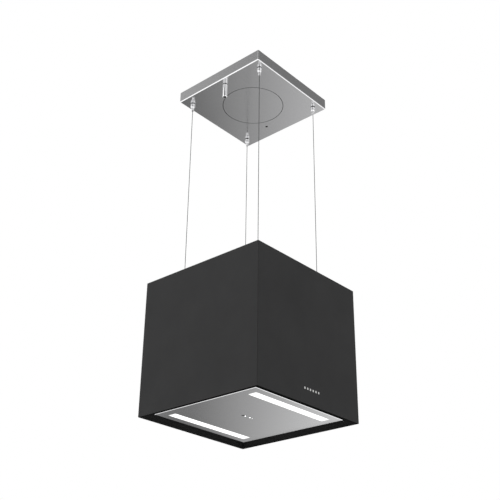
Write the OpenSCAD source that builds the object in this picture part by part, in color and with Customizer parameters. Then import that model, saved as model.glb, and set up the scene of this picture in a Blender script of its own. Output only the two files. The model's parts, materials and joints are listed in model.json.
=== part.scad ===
// Suspended cube island hood: a square painted casing hung on four steel wires from a steel ceiling canopy.
// Millimetres, +Z up. The origin is the centre of the ceiling bolt pattern, in the plane of the ceiling.
// Everything in the hood is drawn from the casing's bottom edge upwards and then lowered to its place.

/* [Casing] */
// Side of the square casing
casing_w = 450; // [450:5:600]
// Height of the casing
casing_h = 420; // [410:5:520]
// Thickness of the painted side panels
skin_t = 1.2; // [0.8:0.1:2]
// Gap at each mitred corner seam
seam_gap = 0.4; // [0.2:0.1:1]
// Flat taken off each outer corner edge
corner_chamfer = 1; // [0.4:0.1:2]
// Width of the lip folded in round the bottom
bottom_lip = 7; // [4:0.5:9]
// Width of the flange folded in round the top
top_flange = 14; // [12:1:20]
// Thickness of the load-bearing top plate
top_plate_t = 2; // [1.5:0.1:3]
// Leg of the corner angle posts
post_leg = 18; // [14:1:24]
// Thickness of the corner angle posts
post_t = 1.5; // [1:0.1:3]

/* [Suspension] */
// Free length of wire between canopy and casing
wire_drop = 684; // [300:1:1200]
// Radius of each suspension wire
wire_r = 1; // [0.75:0.05:1.2]
// Spacing of the wires along X
wire_pitch_x = 280; // [260:5:300]
// Spacing of the wires along Y
wire_pitch_y = 300; // [290:5:304]
// Length of wire left above each gripper stud
wire_tail = 7; // [3:1:15]

/* [Canopy] */
// Side of the square canopy
canopy_w = 354; // [346:1:420]
// Depth of the canopy
canopy_h = 38; // [34:1:60]
// Thickness of the canopy sheet
canopy_t = 1.2; // [0.8:0.1:1.6]
// Outer radius of the folded canopy edges
canopy_edge_r = 3; // [1.8:0.1:4]
// Radius of the round cover disc
disc_r = 102; // [90:1:108]
// Gap round the cover disc
disc_gap = 1; // [0.5:0.1:2]
// Thickness of the folded ceiling bracket
bracket_t = 2.5; // [2:0.1:4]
// Length of the ceiling bracket along X
bracket_len = 320; // [316:1:330]
// Width of each bracket flange that carries two grippers
bracket_flange = 36; // [28:1:38]
// Spacing of the ceiling bolts, both ways
bolt_pitch = 200; // [170:5:220]
// Radius of the ceiling bolt holes
bolt_hole_r = 4; // [3:0.25:5]
// Radius of the cable entry in the bracket
cable_entry_r = 20; // [12:1:30]

/* [Grippers] */
// Radius of the gripper body
gripper_r = 8; // [7.5:0.1:9.5]
// Straight length of the gripper body
gripper_straight = 10; // [9:0.5:14]
// Radius of the release nose
nose_r = 4.5; // [4:0.1:4.8]
// Length of the nose that shows
nose_out = 12; // [8:0.5:14]
// Length of the nose inside the body
nose_in = 7; // [5:0.5:7]
// Radius of the gripper's threaded stud
stud_r = 5; // [4:0.25:5.5]
// Travel of the release nose
nose_travel = 4; // [3:0.5:4.5]
// Height of the relief where a gripper body or the gland tube meets the canopy
relief_h = 1.2; // [0.8:0.1:2]
// Depth of that relief on a gripper body, half as much on the gland tube
relief_in = 1.4; // [0.8:0.1:1.6]

/* [Cable gland] */
// Radius of the gland tube
gland_r = 8; // [7.6:0.1:9]
// Length of the gland tube
gland_len = 50; // [30:1:70]
// Radius of the cable bore
gland_bore_r = 4.5; // [3:0.25:4.8]
// Gland position along X
gland_x = -148; // [-152:1:-140]
// Gland position along Y
gland_y = -7; // [-30:1:30]

/* [Bottom panel] */
// Distance from the casing's side to the panel, all round
panel_margin = 32; // [29:0.5:34]
// Depth of the panel above the casing's bottom edge
panel_recess = 9; // [6:1:14]
// Thickness of the panel sheet
panel_t = 1; // [0.8:0.1:1.5]
// Height of the rim folded up round the panel
panel_rim = 6; // [4:0.5:6]
// Distance from each end of a light window to the panel's edge
light_end = 31; // [29:1:50]
// Width of each light window
light_w = 28; // [24:1:29]
// Distance from the middle of a light window to the panel's edge
light_inset = 41; // [41:0.5:48]
// Depth of the light housings
light_h = 9; // [8:0.5:11]

/* [Filters] */
// Height of the filter plate above the bottom edge
plate_z = 52; // [52:1:60]
// Thickness of the filter plate
plate_t = 1.5; // [1:0.1:2]
// Width of a grease filter
filter_w = 170; // [150:2:176]
// Length of a grease filter
filter_l = 300; // [280:2:304]
// Thickness of a grease filter
filter_h = 9; // [9:0.5:10]
// Width of the filter frame bars
filter_bar = 10; // [8:0.5:12]
// Pitch of the filter mesh
mesh_pitch = 14; // [12:1:24]
// Travel of the filter latch
latch_travel = 7; // [5:0.5:8]

/* [Blower] */
// Outer radius of the impeller
impeller_r = 80; // [76:1:82]
// Half width of the impeller
impeller_half = 58; // [54:1:59]
// Radial depth of the blades
blade_depth = 15; // [10:1:16]
// Number of blades on each side
blade_count = 36; // [24:1:42]
// Smallest radius of the scroll, at its tongue
tongue_r = 88; // [86:1:92]
// Largest radius of the scroll
scroll_r_max = 140; // [125:1:145]
// Half width of the scroll
scroll_half = 68; // [66:1:72]
// Thickness of the scroll sheet
scroll_t = 1.5; // [1:0.1:2]
// Height of the shaft above the bottom edge
blower_z = 215; // [200:1:220]
// Distance of the shaft behind the middle
blower_y = 16; // [0:1:24]
// Radius of the motor shaft
shaft_r = 4; // [3:0.25:6]
// Radius of the motor
motor_r = 42; // [36:1:46]
// Radius of the round charcoal filters
charcoal_r = 95; // [90:1:100]
// Thickness of the round charcoal filters
charcoal_h = 28; // [20:1:34]

/* [Clearances] */
// Radial clearance of a running fit
running_gap = 0.05; // [0.02:0.01:0.08]
// Clearance round pieces that only lie beside each other
loose_gap = 0.3; // [0.2:0.05:0.5]

/* [Hidden] */

fine = 96;     // facets drawn round large circles
coarse = 40;   // facets drawn round small circles
over = 1;      // how far a cut runs past the face that it opens

black_paint = [0.16, 0.16, 0.17];
steel = [0.72, 0.72, 0.73];
zinc = [0.62, 0.64, 0.66];
bright = [0.85, 0.85, 0.87];
dark_plastic = [0.12, 0.12, 0.13];
white_plastic = [0.95, 0.95, 0.93];
board_green = [0.1, 0.35, 0.2];

casing_top_z = -canopy_h - wire_drop;
casing_bottom_z = casing_top_z - casing_h;
inner_w = casing_w - 2 * skin_t;
sheet_side_gap = 0.3;
top_under = casing_h - skin_t - top_plate_t;
wire_spots = [for (j = [-1, 1], i = [-1, 1]) [i * wire_pitch_x / 2, j * wire_pitch_y / 2]];

// The canopy's sheet and the bracket flange are clamped between gripper and nut.
clamp_t = canopy_t + bracket_t;
gripper_nut_h = 5;
gripper_stud_h = clamp_t + gripper_nut_h + 2;
gripper_nut_af = 2 * stud_r + 5;
wire_hole_r = wire_r + loose_gap;
gripper_len = gripper_straight + sqrt(pow(gripper_r, 2) - pow(nose_r + 0.8, 2));
nose_room = 2.5;

hole_gap = 0.3;
seat_lap = 9;
canopy_screw_x = 124;
canopy_screw_y = 44;
canopy_screw_r = 1.5;
canopy_screw_head_r = 2.6;
tab_w = 20;
tab_d = 16;

gland_wall_h = 6;
gland_nut_h = 5;
gland_stud_r = gland_bore_r + 2;
gland_tube_r = gland_bore_r + 0.5;
gland_mouth = 1.5;

anchor_r = 7;
anchor_h = 6;
anchor_stud_r = 4;
anchor_stud_h = 8;
anchor_nut_h = 4;
ferrule_r = 3;
ferrule_h = 10;
ferrule_gap = 0.1;

screw_r = 1.9;
screw_head_r = 3.5;
screw_head_h = 2;
screw_len = 8;
screw_inset = top_flange / 2;
screw_spots = [for (turn = [0:90:270], s = [-1, 1]) [turn, s * casing_w / 4]];

panel_w = casing_w - 2 * panel_margin;
panel_edge_r = 3;
light_len = panel_w - 2 * light_end;
light_y = panel_w / 2 - light_inset;
light_flange = 4;
diffuser_t = 2;
light_wall = 1.2;
light_outer_l = light_len + 2 * light_flange + 2 * light_wall + 2 * sheet_side_gap;
light_outer_w = light_w + 2 * light_flange + 2 * light_wall + 2 * sheet_side_gap;
chip_pitch = 20;
indicator_y = 0;
receiver_x = -26;
receiver_r = 2;
status_x = [-16.5, 3, 13.5];
status_r = 1.8;
board_x = -6;

hinge_x = panel_w / 2 - 43;
hinge_inset = 11;
hinge_y = panel_w / 2 - hinge_inset;
hinge_z = panel_recess + 16;
pin_r = 2;
ear_t = 2;
ear_half = 6;
bracket_web_t = 3;
hinge_web_half = 8;
catch_y = -hinge_y;
magnet_r = 7;
magnet_h = 6;
ear_gap = 0.3;
window_gap = 0.1;
window_rise = 2;
keeper_r = 8;
keeper_h = 2.7;
catch_z = panel_recess + panel_t + keeper_h + 0.3;

filter_x = filter_w / 2 + 8;
filter_z = plate_z - filter_h;
plate_w = inner_w - 2 * sheet_side_gap;
rail_t = 1.5;
rail_lip = 6;
tongue_t = 2;
tongue_w = 24;
tongue_z = filter_z + 3;
tongue_out = latch_travel;
pocket_w = 60;
pocket_l = 34;
latch_plate_l = 14;
pocket_wall = 3;
tongue_rise = 3;
tab_out = 4;
channel_t = 1.5;
mesh_hold = 4;

tongue_angle = 110;
tongue_y = tongue_r * cos(tongue_angle);
scroll_top = top_under - scroll_t - blower_z;
scroll_steps = 58;
ring_round = 9;
inlet_r = impeller_r - blade_depth - 2;
ring_flange_r = inlet_r + ring_round + 12;
ring_face = scroll_half + 2 * scroll_t;
motor_start = 14;
motor_end = ring_face + 1;
grommet_at = ring_flange_r + 6;
grommet_r = 5;
grommet_top = 3;
box_l = 150;
box_w = 96;
box_h = 45;
box_y = casing_w / 2 - 97;
capacitor_r = 15;
capacitor_h = 62;
capacitor_x = casing_w / 2 - 65;
capacitor_y = 95 - casing_w / 2;

// ---- Helpers ----

// Brings a piece drawn from the casing's bottom edge down to its hanging height.
module in_hood() {
    translate([0, 0, casing_bottom_z]) children();
}

// Turns an outline drawn in Y and Z into a bar along X.
module along_x(len) {
    rotate([90, 0, 90]) linear_extrude(len, center = true) children();
}

// Turns an outline drawn in X and Z into a bar along Y.
module along_y(len) {
    rotate([90, 0, 0]) linear_extrude(len, center = true) children();
}

// Lays a round piece with its axis along X, +Z becoming +X.
module axis_x() {
    rotate([0, 90, 0]) children();
}

// Moves to the impeller's axis.
module at_blower() {
    in_hood() translate([0, blower_y, blower_z]) children();
}

// Box centred in X and Y that stands on z.
module block(size, at = [0, 0, 0]) {
    translate(at) linear_extrude(size[2]) square([size[0], size[1]], center = true);
}

module rounded_rect(size, r) {
    square([size[0] - 2 * r, size[1]], center = true);
    square([size[0], size[1] - 2 * r], center = true);
    for (i = [-1, 1], j = [-1, 1])
        translate([i * (size[0] / 2 - r), j * (size[1] / 2 - r)]) circle(r, $fn = coarse);
}

module chamfered_square(w, c) {
    h = w / 2;
    polygon([
        [-h, -h + c], [-h + c, -h], [h - c, -h], [h, -h + c],
        [h, h - c], [h - c, h], [-h + c, h], [-h, h - c]
    ]);
}

// Upright hole from z = 0 up, cut past both faces.
module drill(r, depth) {
    translate([0, 0, -over]) cylinder(r = r, h = depth + 2 * over, $fn = coarse);
}

module hex_nut(af, h, bore) {
    difference() {
        cylinder(r = af / 2 / cos(30), h = h, $fn = 6);
        drill(bore, h);
    }
}

// A square tray with folded, rounded edges, open at the top.
module folded_tray(w, h, t, r) {
    difference() {
        rounded_block(w, h, r);
        translate([0, 0, t]) rounded_block(w - 2 * t, h, r - t);
    }
}

// A square block whose bottom and upright edges are rounded.
module rounded_block(w, h, r) {
    intersection() {
        linear_extrude(h) rounded_rect([w, w], r);
        along_x(w) rounded_foot(w, h, r);
        along_y(w) rounded_foot(w, h, r);
    }
}

module rounded_foot(w, h, r) {
    translate([-w / 2 + r, 0]) square([w - 2 * r, h]);
    translate([-w / 2, r]) square([w, h - r]);
    for (i = [-1, 1]) translate([i * (w / 2 - r), r]) circle(r, $fn = coarse);
}

// A coil spring that stands on z = 0, swept as six-sided wire.
module coil_spring(coil_r, thick, turns, length) {
    steps = 12;
    sides = 6;
    rings = turns * steps;
    points = [
        for (i = [0:rings], j = [0:sides - 1])
            let (
                turn = i * 360 / steps,
                side = j * 360 / sides,
                reach = coil_r + thick * cos(side),
                rise = thick + (length - 2 * thick) * i / rings + thick * sin(side)
            )
            [reach * cos(turn), reach * sin(turn), rise]
    ];
    walls = [
        for (i = [0:rings - 1], j = [0:sides - 1], half = [0, 1])
            let (next = (j + 1) % sides, low = i * sides, high = low + sides)
            half == 0 ? [low + j, high + j, high + next] : [low + j, high + next, low + next]
    ];
    ends = [[for (j = [0:sides - 1]) j], [for (j = [sides - 1:-1:0]) rings * sides + j]];
    polyhedron(points, concat(walls, ends), convexity = 4);
}

// ---- Ceiling canopy ----

module bracket_outline() {
    side = wire_pitch_y / 2 - bracket_flange / 2;
    low = canopy_t - canopy_h;
    translate([-side, -bracket_t]) square([2 * side, bracket_t]);
    for (s = [-1, 1]) {
        translate([s * (side - bracket_t / 2), low / 2]) square([bracket_t, -low], center = true);
        translate([s * (side + bracket_flange / 2 - bracket_t / 2), low + bracket_t / 2])
            square([bracket_flange + bracket_t, bracket_t], center = true);
    }
}

module screw_tab() {
    low = canopy_t - canopy_h;
    translate([canopy_screw_x, canopy_screw_y, 0]) {
        block([tab_w, tab_d, bracket_t], [0, 0, low]);
        block([bracket_t, tab_d, -low], [tab_w / 2 - bracket_t / 2, 0, low]);
    }
}

module ceiling_bracket() {
    color(zinc) difference() {
        union() {
            along_x(bracket_len) bracket_outline();
            screw_tab();
        }
        for (i = [-1, 1], j = [-1, 1])
            translate([i * bolt_pitch / 2, j * bolt_pitch / 2, -bracket_t]) drill(bolt_hole_r, bracket_t);
        translate([0, 0, -bracket_t]) drill(cable_entry_r, bracket_t);
        for (p = wire_spots)
            translate([p[0], p[1], canopy_t - canopy_h]) drill(stud_r + hole_gap, bracket_t);
        translate([canopy_screw_x, canopy_screw_y, canopy_t - canopy_h])
            drill(canopy_screw_r + running_gap, bracket_t);
    }
}

module canopy() {
    color(steel) translate([0, 0, -canopy_h]) difference() {
        folded_tray(canopy_w, canopy_h, canopy_t, canopy_edge_r);
        translate([0, 0, -over]) cylinder(r = disc_r + disc_gap, h = canopy_t + 2 * over, $fn = fine);
        for (p = wire_spots) translate([p[0], p[1], 0]) drill(stud_r + hole_gap, canopy_t);
        translate([gland_x, gland_y, 0]) drill(gland_stud_r + hole_gap, canopy_t);
        translate([canopy_screw_x, canopy_screw_y, 0]) {
            cylinder(
                r1 = canopy_screw_head_r + running_gap, r2 = canopy_screw_r + running_gap,
                h = canopy_t, $fn = coarse
            );
            drill(canopy_screw_r + running_gap, canopy_t);
        }
    }
}

module disc_seat_ring() {
    color(black_paint) translate([0, 0, canopy_t - canopy_h]) difference() {
        cylinder(r = disc_r + seat_lap, h = canopy_t, $fn = fine);
        translate([0, 0, -over]) cylinder(r = disc_r - seat_lap, h = canopy_t + 2 * over, $fn = fine);
    }
}

module disc_magnets() {
    color(dark_plastic) for (turn = [45:90:315])
        rotate(turn) translate([disc_r - 1, 0, 2 * canopy_t - canopy_h]) cylinder(r = 6, h = 3, $fn = coarse);
}

module cover_disc() {
    color(steel) translate([0, 0, -canopy_h]) cylinder(r = disc_r, h = canopy_t, $fn = fine);
}

module canopy_screw() {
    color(dark_plastic) translate([canopy_screw_x, canopy_screw_y, -canopy_h]) {
        cylinder(r1 = canopy_screw_head_r, r2 = canopy_screw_r, h = canopy_t, $fn = coarse);
        cylinder(r = canopy_screw_r, h = clamp_t + 3, $fn = coarse);
    }
}

// Round body hung under a plate: a relief against the plate, a bevelled shoulder, then the full radius.
module hung_body(r, len, inset) {
    translate([0, 0, -relief_h]) cylinder(r = r - inset, h = relief_h, $fn = fine);
    translate([0, 0, -relief_h - inset]) cylinder(r1 = r, r2 = r - inset, h = inset, $fn = fine);
    translate([0, 0, -len]) cylinder(r = r, h = len - relief_h - inset, $fn = fine);
}

// One wire gripper: threaded stud, domed body and the bore that its release nose slides in.
module gripper_body() {
    difference() {
        union() {
            cylinder(r = stud_r, h = gripper_stud_h, $fn = coarse);
            hung_body(gripper_r, gripper_straight, relief_in);
            intersection() {
                translate([0, 0, -gripper_straight]) sphere(r = gripper_r, $fn = fine);
                translate([0, 0, -gripper_len]) cylinder(r = gripper_r, h = gripper_len, $fn = fine);
            }
        }
        translate([0, 0, -gripper_len - over])
            cylinder(r = nose_r + running_gap, h = gripper_len - nose_room + over, $fn = coarse);
        translate([0, 0, -nose_room]) drill(wire_hole_r, gripper_stud_h + nose_room);
    }
}

module gripper_bodies() {
    color(bright) for (p = wire_spots) translate([p[0], p[1], -canopy_h]) gripper_body();
}

module gripper_nuts() {
    color(zinc) for (p = wire_spots)
        translate([p[0], p[1], clamp_t - canopy_h])
            hex_nut(gripper_nut_af, gripper_nut_h, stud_r + running_gap);
}

module gripper_springs() {
    room = gripper_len - nose_in - nose_room;
    color(bright) for (p = wire_spots)
        translate([p[0], p[1], -canopy_h - nose_room - room])
            coil_spring(nose_r - 1.3, 0.35, 4, room);
}

// The release nose of gripper k slides up against its spring to free the wire.
module gripper_nose(k) {
    tip = 1.5;
    color(bright) translate([wire_spots[k][0], wire_spots[k][1], -canopy_h - gripper_len - nose_out]) difference() {
        union() {
            cylinder(r1 = nose_r - tip / 2, r2 = nose_r, h = tip, $fn = fine);
            translate([0, 0, tip]) cylinder(r = nose_r, h = nose_out + nose_in - tip, $fn = fine);
        }
        drill(wire_hole_r, nose_out + nose_in);
    }
}

module cable_gland() {
    color(bright) translate([gland_x, gland_y, -canopy_h]) difference() {
        union() {
            cylinder(r = gland_stud_r, h = canopy_t + gland_nut_h + 2, $fn = coarse);
            hung_body(gland_r, gland_len - gland_mouth, relief_in / 2);
            translate([0, 0, -gland_len])
                cylinder(r1 = gland_r - gland_mouth, r2 = gland_r, h = gland_mouth, $fn = fine);
        }
        translate([0, 0, -gland_wall_h]) drill(gland_bore_r, gland_wall_h + canopy_t + gland_nut_h + 2);
        translate([0, 0, -gland_len - over])
            cylinder(r = gland_tube_r, h = gland_len - gland_wall_h + over, $fn = coarse);
    }
}

module gland_nut() {
    color(zinc) translate([gland_x, gland_y, canopy_t - canopy_h])
        hex_nut(2 * gland_stud_r + 5, gland_nut_h, gland_stud_r + running_gap);
}

// Mains terminal block screwed under the bracket's web.
module supply_terminal() {
    ways = 3;
    pitch = 12;
    color(white_plastic) translate([-60, 45, -bracket_t - 14]) difference() {
        block([ways * pitch + 4, 22, 14]);
        for (i = [0:ways - 1]) translate([(i - 1) * pitch, 0, 0]) {
            translate([0, 0, 6]) rotate([90, 0, 0]) cylinder(r = 2.4, h = 30, center = true, $fn = coarse);
            for (s = [-1, 1]) translate([0, s * 5, -over]) cylinder(r = 2, h = 6, $fn = coarse);
        }
        for (s = [-1, 1]) block([2, 8, 10], [s * pitch / 2, 11, -over]);
    }
}

module suspension_wires() {
    low = casing_bottom_z + casing_h - skin_t - top_plate_t - anchor_stud_h - ferrule_h;
    high = -canopy_h + gripper_stud_h + wire_tail;
    color(steel) for (p = wire_spots)
        translate([p[0], p[1], low]) cylinder(r = wire_r, h = high - low, $fn = coarse);
}

// ---- Casing ----

module casing_shell() {
    difference() {
        linear_extrude(casing_h) chamfered_square(casing_w, corner_chamfer);
        block([inner_w, inner_w, casing_h - 2 * skin_t], [0, 0, skin_t]);
        block([casing_w - 2 * bottom_lip, casing_w - 2 * bottom_lip, skin_t + 2 * over], [0, 0, -over]);
        block(
            [casing_w - 2 * top_flange, casing_w - 2 * top_flange, skin_t + 2 * over],
            [0, 0, casing_h - skin_t - over]
        );
        for (s = screw_spots)
            rotate(s[0]) translate([s[1], screw_inset - casing_w / 2, casing_h - skin_t])
                drill(screw_r + hole_gap, skin_t);
    }
}

// One side of the casing, cut from the whole along the mitres; turn 0 is the front.
module casing_side(turn) {
    back = seam_gap / sqrt(2);
    color(black_paint) in_hood() intersection() {
        casing_shell();
        rotate(turn) linear_extrude(casing_h)
            polygon([[0, -back], [casing_w, -casing_w - back], [-casing_w, -casing_w - back]]);
    }
}

module front_panel() {
    casing_side(0);
}

module right_panel() {
    casing_side(90);
}

module rear_panel() {
    casing_side(180);
}

module left_panel() {
    casing_side(270);
}

// Angle posts in the corners: long ones above the filter plate and short feet that carry it.
module corner_posts() {
    spans = [[skin_t, plate_z], [plate_z + plate_t, top_under]];
    color(black_paint) in_hood() for (turn = [0:90:270], span = spans)
        rotate(turn) translate([inner_w / 2, inner_w / 2, span[0]]) linear_extrude(span[1] - span[0])
            polygon([
                [0, 0], [-post_leg, 0], [-post_leg, -post_t], [-post_t, -post_t],
                [-post_t, -post_leg], [0, -post_leg]
            ]);
}

// Opening of the outlet duct, from the shaft's centre.
function outlet_mid_y() = blower_y + (tongue_y - scroll_r_max) / 2;
function outlet_len_y() = scroll_r_max + tongue_y;

module top_plate() {
    color(zinc) in_hood() translate([0, 0, top_under]) difference() {
        block([plate_w, plate_w, top_plate_t]);
        block(
            [2 * scroll_half, outlet_len_y(), top_plate_t + 2 * over],
            [0, outlet_mid_y(), -over]
        );
        for (p = wire_spots) translate([p[0], p[1], 0]) drill(anchor_stud_r + hole_gap, top_plate_t);
        for (s = screw_spots)
            rotate(s[0]) translate([s[1], screw_inset - casing_w / 2, 0])
                drill(screw_r + running_gap, top_plate_t);
        translate([gland_x, gland_y, 0]) drill(gland_stud_r + hole_gap, top_plate_t);
    }
}

module casing_screws() {
    color(dark_plastic) in_hood() for (s = screw_spots)
        rotate(s[0]) translate([s[1], screw_inset - casing_w / 2, casing_h - screw_len]) {
            cylinder(r = screw_r, h = screw_len, $fn = coarse);
            translate([0, 0, screw_len]) cylinder(r = screw_head_r, h = screw_head_h, $fn = coarse);
        }
}

// Louvred grille over the outlet: a frame with slats that lean away from the wires.
module outlet_grille() {
    frame_h = 5;
    border = 10;
    slats = 9;
    long = 2 * scroll_half + 2 * border;
    deep = outlet_len_y() + 2 * border;
    color(dark_plastic) in_hood() translate([0, outlet_mid_y(), top_under + top_plate_t]) {
        difference() {
            linear_extrude(frame_h) rounded_rect([long, deep], border / 2);
            block([2 * scroll_half, outlet_len_y(), frame_h + 2 * over], [0, 0, -over]);
        }
        for (k = [1:slats])
            translate([0, -outlet_len_y() / 2 + k * outlet_len_y() / (slats + 1), 0])
                along_x(2 * scroll_half + border) polygon([[-4, 0.5], [-2, 0.5], [4, frame_h - 0.5], [2, frame_h - 0.5]]);
    }
}

module wire_anchors() {
    color(bright) in_hood() for (p = wire_spots)
        translate([p[0], p[1], top_under + top_plate_t]) difference() {
            union() {
                cylinder(r1 = anchor_r, r2 = anchor_stud_r, h = anchor_h, $fn = fine);
                translate([0, 0, -top_plate_t - anchor_stud_h])
                    cylinder(r = anchor_stud_r, h = top_plate_t + anchor_stud_h, $fn = coarse);
            }
            translate([0, 0, -top_plate_t - anchor_stud_h])
                drill(wire_hole_r, top_plate_t + anchor_stud_h + anchor_h);
        }
}

module anchor_nuts() {
    color(zinc) in_hood() for (p = wire_spots)
        translate([p[0], p[1], top_under - anchor_nut_h])
            hex_nut(2 * anchor_stud_r + 4, anchor_nut_h, anchor_stud_r + running_gap);
}

module wire_ferrules() {
    color(steel) in_hood() for (p = wire_spots)
        translate([p[0], p[1], top_under - anchor_stud_h - ferrule_h]) difference() {
            cylinder(r = ferrule_r, h = ferrule_h, $fn = coarse);
            drill(wire_r + ferrule_gap, ferrule_h);
        }
}

// Snap-in inlet for the mains cable on top of the casing.
module inlet_gland() {
    snap = 1.2;
    color(dark_plastic) in_hood() translate([gland_x, gland_y, top_under + top_plate_t]) difference() {
        union() {
            cylinder(r = gland_r, h = 3, $fn = coarse);
            cylinder(r1 = gland_stud_r, r2 = gland_stud_r - 1, h = 14, $fn = coarse);
            translate([0, 0, -top_plate_t]) cylinder(r = gland_stud_r, h = top_plate_t, $fn = coarse);
            translate([0, 0, -top_plate_t - 4])
                cylinder(r1 = gland_stud_r, r2 = gland_stud_r + snap, h = 4, $fn = coarse);
        }
        translate([0, 0, -top_plate_t - 4]) drill(gland_bore_r, top_plate_t + 18);
    }
}

// ---- Blower ----

// The scroll opens out clockwise from the tongue and ends in a straight duct up to the outlet.
function scroll_r(a) = tongue_r + (scroll_r_max - tongue_r) * (tongue_angle - a) / (tongue_angle + 180);
function scroll_start(wall) = acos((tongue_y + wall) / (tongue_r + wall));
function scroll_outline(wall, top) = concat(
    [for (i = [0:scroll_steps])
        let (a = scroll_start(wall) - (scroll_start(wall) + 180) * i / scroll_steps)
        (scroll_r(a) + wall) * [cos(a), sin(a)]],
    [[-scroll_r_max - wall, top], [tongue_y + wall, top]]
);

module scroll_cheek(bore) {
    axis_flat() difference() {
        linear_extrude(scroll_t) polygon(scroll_outline(scroll_t, scroll_top));
        drill(bore, scroll_t);
    }
}

// Turns what is drawn in the outline's own plane so that it faces along X.
module axis_flat() {
    rotate([90, 0, 90]) children();
}

module scroll_housing() {
    flange = 10;
    color(zinc) at_blower() {
        axis_flat() translate([0, 0, -scroll_half]) difference() {
            linear_extrude(2 * scroll_half) polygon(scroll_outline(scroll_t, scroll_top));
            translate([0, 0, -over]) linear_extrude(2 * scroll_half + 2 * over)
                polygon(scroll_outline(0, scroll_top + over));
        }
        translate([-scroll_half - scroll_t, 0, 0]) scroll_cheek(inlet_r + ring_round);
        translate([0, tongue_y / 2 - scroll_r_max / 2, scroll_top]) difference() {
            block([2 * (scroll_half + scroll_t + flange), outlet_len_y() + 2 * (scroll_t + flange), scroll_t]);
            block([2 * scroll_half, outlet_len_y(), scroll_t + 2 * over], [0, 0, -over]);
        }
    }
}

module scroll_side_plate() {
    color(zinc) at_blower() translate([scroll_half, 0, 0]) scroll_cheek(inlet_r + ring_round);
}

// Bellmouth that leads the air into one side of the impeller.
module inlet_ring() {
    rotate_extrude($fn = fine) {
        intersection() {
            translate([inlet_r + ring_round, ring_face - ring_round]) difference() {
                circle(ring_round, $fn = fine);
                circle(ring_round - scroll_t, $fn = fine);
            }
            translate([inlet_r, ring_face - ring_round]) square([ring_round, ring_round]);
        }
        translate([inlet_r + ring_round, ring_face - scroll_t])
            square([ring_flange_r - inlet_r - ring_round, scroll_t]);
    }
}

module inlet_rings() {
    color(dark_plastic) at_blower() {
        axis_x() inlet_ring();
        mirror([1, 0, 0]) axis_x() inlet_ring();
    }
}

// One forward-curved blade between the impeller's inner and outer radius.
module blade(h) {
    steps = 5;
    lean = 13;
    thick = 1.1;
    set_in = 0.6;
    inner = impeller_r - blade_depth + set_in;
    span = blade_depth - 2 * set_in;
    edge = function(side) [
        for (i = [0:steps])
            let (t = i / steps, r = inner + span * t, a = lean * t * t + side * thick / r * 90 / PI)
            r * [cos(a), sin(a)]
    ];
    near = edge(-1);
    far = edge(1);
    linear_extrude(h) polygon(concat(near, [for (i = [steps:-1:0]) far[i]]));
}

module impeller() {
    web = 2;
    rim = 2;
    hub_r = shaft_r + 8;
    inner = impeller_r - blade_depth;
    color(dark_plastic) at_blower() axis_x() difference() {
        union() {
            translate([0, 0, -web / 2]) cylinder(r = impeller_r, h = web, $fn = fine);
            translate([0, 0, -12]) cylinder(r = hub_r, h = 14, $fn = coarse);
            for (k = [0:blade_count - 1]) rotate(k * 360 / blade_count) {
                translate([0, 0, -impeller_half + rim / 2]) blade(2 * impeller_half - rim);
            }
            for (s = [-1, 1]) translate([0, 0, s * (impeller_half - rim / 2) - rim / 2]) difference() {
                cylinder(r = impeller_r, h = rim, $fn = fine);
                translate([0, 0, -over]) cylinder(r = inner, h = rim + 2 * over, $fn = fine);
            }
        }
        translate([0, 0, -12]) drill(shaft_r + running_gap, 14);
    }
}

module motor_shaft() {
    color(bright) at_blower() axis_x() translate([0, 0, -16]) cylinder(r = shaft_r, h = motor_end + 10, $fn = coarse);
}

// Induction motor: ribbed can, end caps and the nose bearing that faces the impeller's web.
module motor() {
    ribs = 24;
    cap = 8;
    long = motor_end - motor_start;
    color(steel) at_blower() axis_x() translate([0, 0, motor_start]) difference() {
        union() {
            cylinder(r = motor_r - 2, h = long, $fn = fine);
            cylinder(r = motor_r, h = cap, $fn = fine);
            translate([0, 0, long - cap]) cylinder(r = motor_r, h = cap, $fn = fine);
            for (k = [0:ribs - 1]) rotate(k * 360 / ribs)
                translate([motor_r - 3, -1, cap - 0.5]) cube([2.5, 2, long - 2 * cap + 1]);
            translate([0, 0, -6]) cylinder(r1 = shaft_r + 4, r2 = shaft_r + 8, h = 6, $fn = coarse);
        }
        translate([0, 0, -6]) drill(shaft_r + running_gap, motor_end - 6);
    }
}

module motor_bracket() {
    plate = 2;
    arm_w = 18;
    color(zinc) at_blower() axis_x() translate([0, 0, motor_end]) difference() {
        union() {
            cylinder(r = motor_r - 4, h = plate, $fn = fine);
            for (turn = [30:120:270]) rotate(turn) {
                translate([0, -arm_w / 2, 0]) cube([grommet_at, arm_w, plate]);
                translate([grommet_at, 0, 0]) cylinder(r = arm_w / 2, h = plate, $fn = coarse);
            }
        }
        for (turn = [30:120:270]) rotate(turn) translate([grommet_at, 0, 0]) drill(2.2, plate);
        for (turn = [90:120:330]) rotate(turn) translate([motor_r / 2, 0, 0]) drill(6, plate);
    }
}

module motor_grommets() {
    low = scroll_half + scroll_t;
    color(dark_plastic) at_blower() axis_x() for (turn = [30:120:270])
        rotate(turn) translate([grommet_at, 0, low]) {
            cylinder(r = grommet_r, h = motor_end - low, $fn = coarse);
            cylinder(r = 2.1, h = motor_end - low + grommet_top, $fn = coarse);
        }
}

// Round charcoal cassette with two rows of slots round a hub.
module charcoal_filter() {
    rows = [[28, 54, 16], [60, 86, 28]];
    difference() {
        union() {
            cylinder(r = charcoal_r, h = charcoal_h, $fn = fine);
            cylinder(r = 18, h = charcoal_h + 3, $fn = coarse);
        }
        for (row = rows, k = [0:row[2] - 1])
            rotate(k * 360 / row[2]) block([row[1] - row[0], 4, charcoal_h - 2], [(row[0] + row[1]) / 2, 0, 3]);
    }
}

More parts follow.
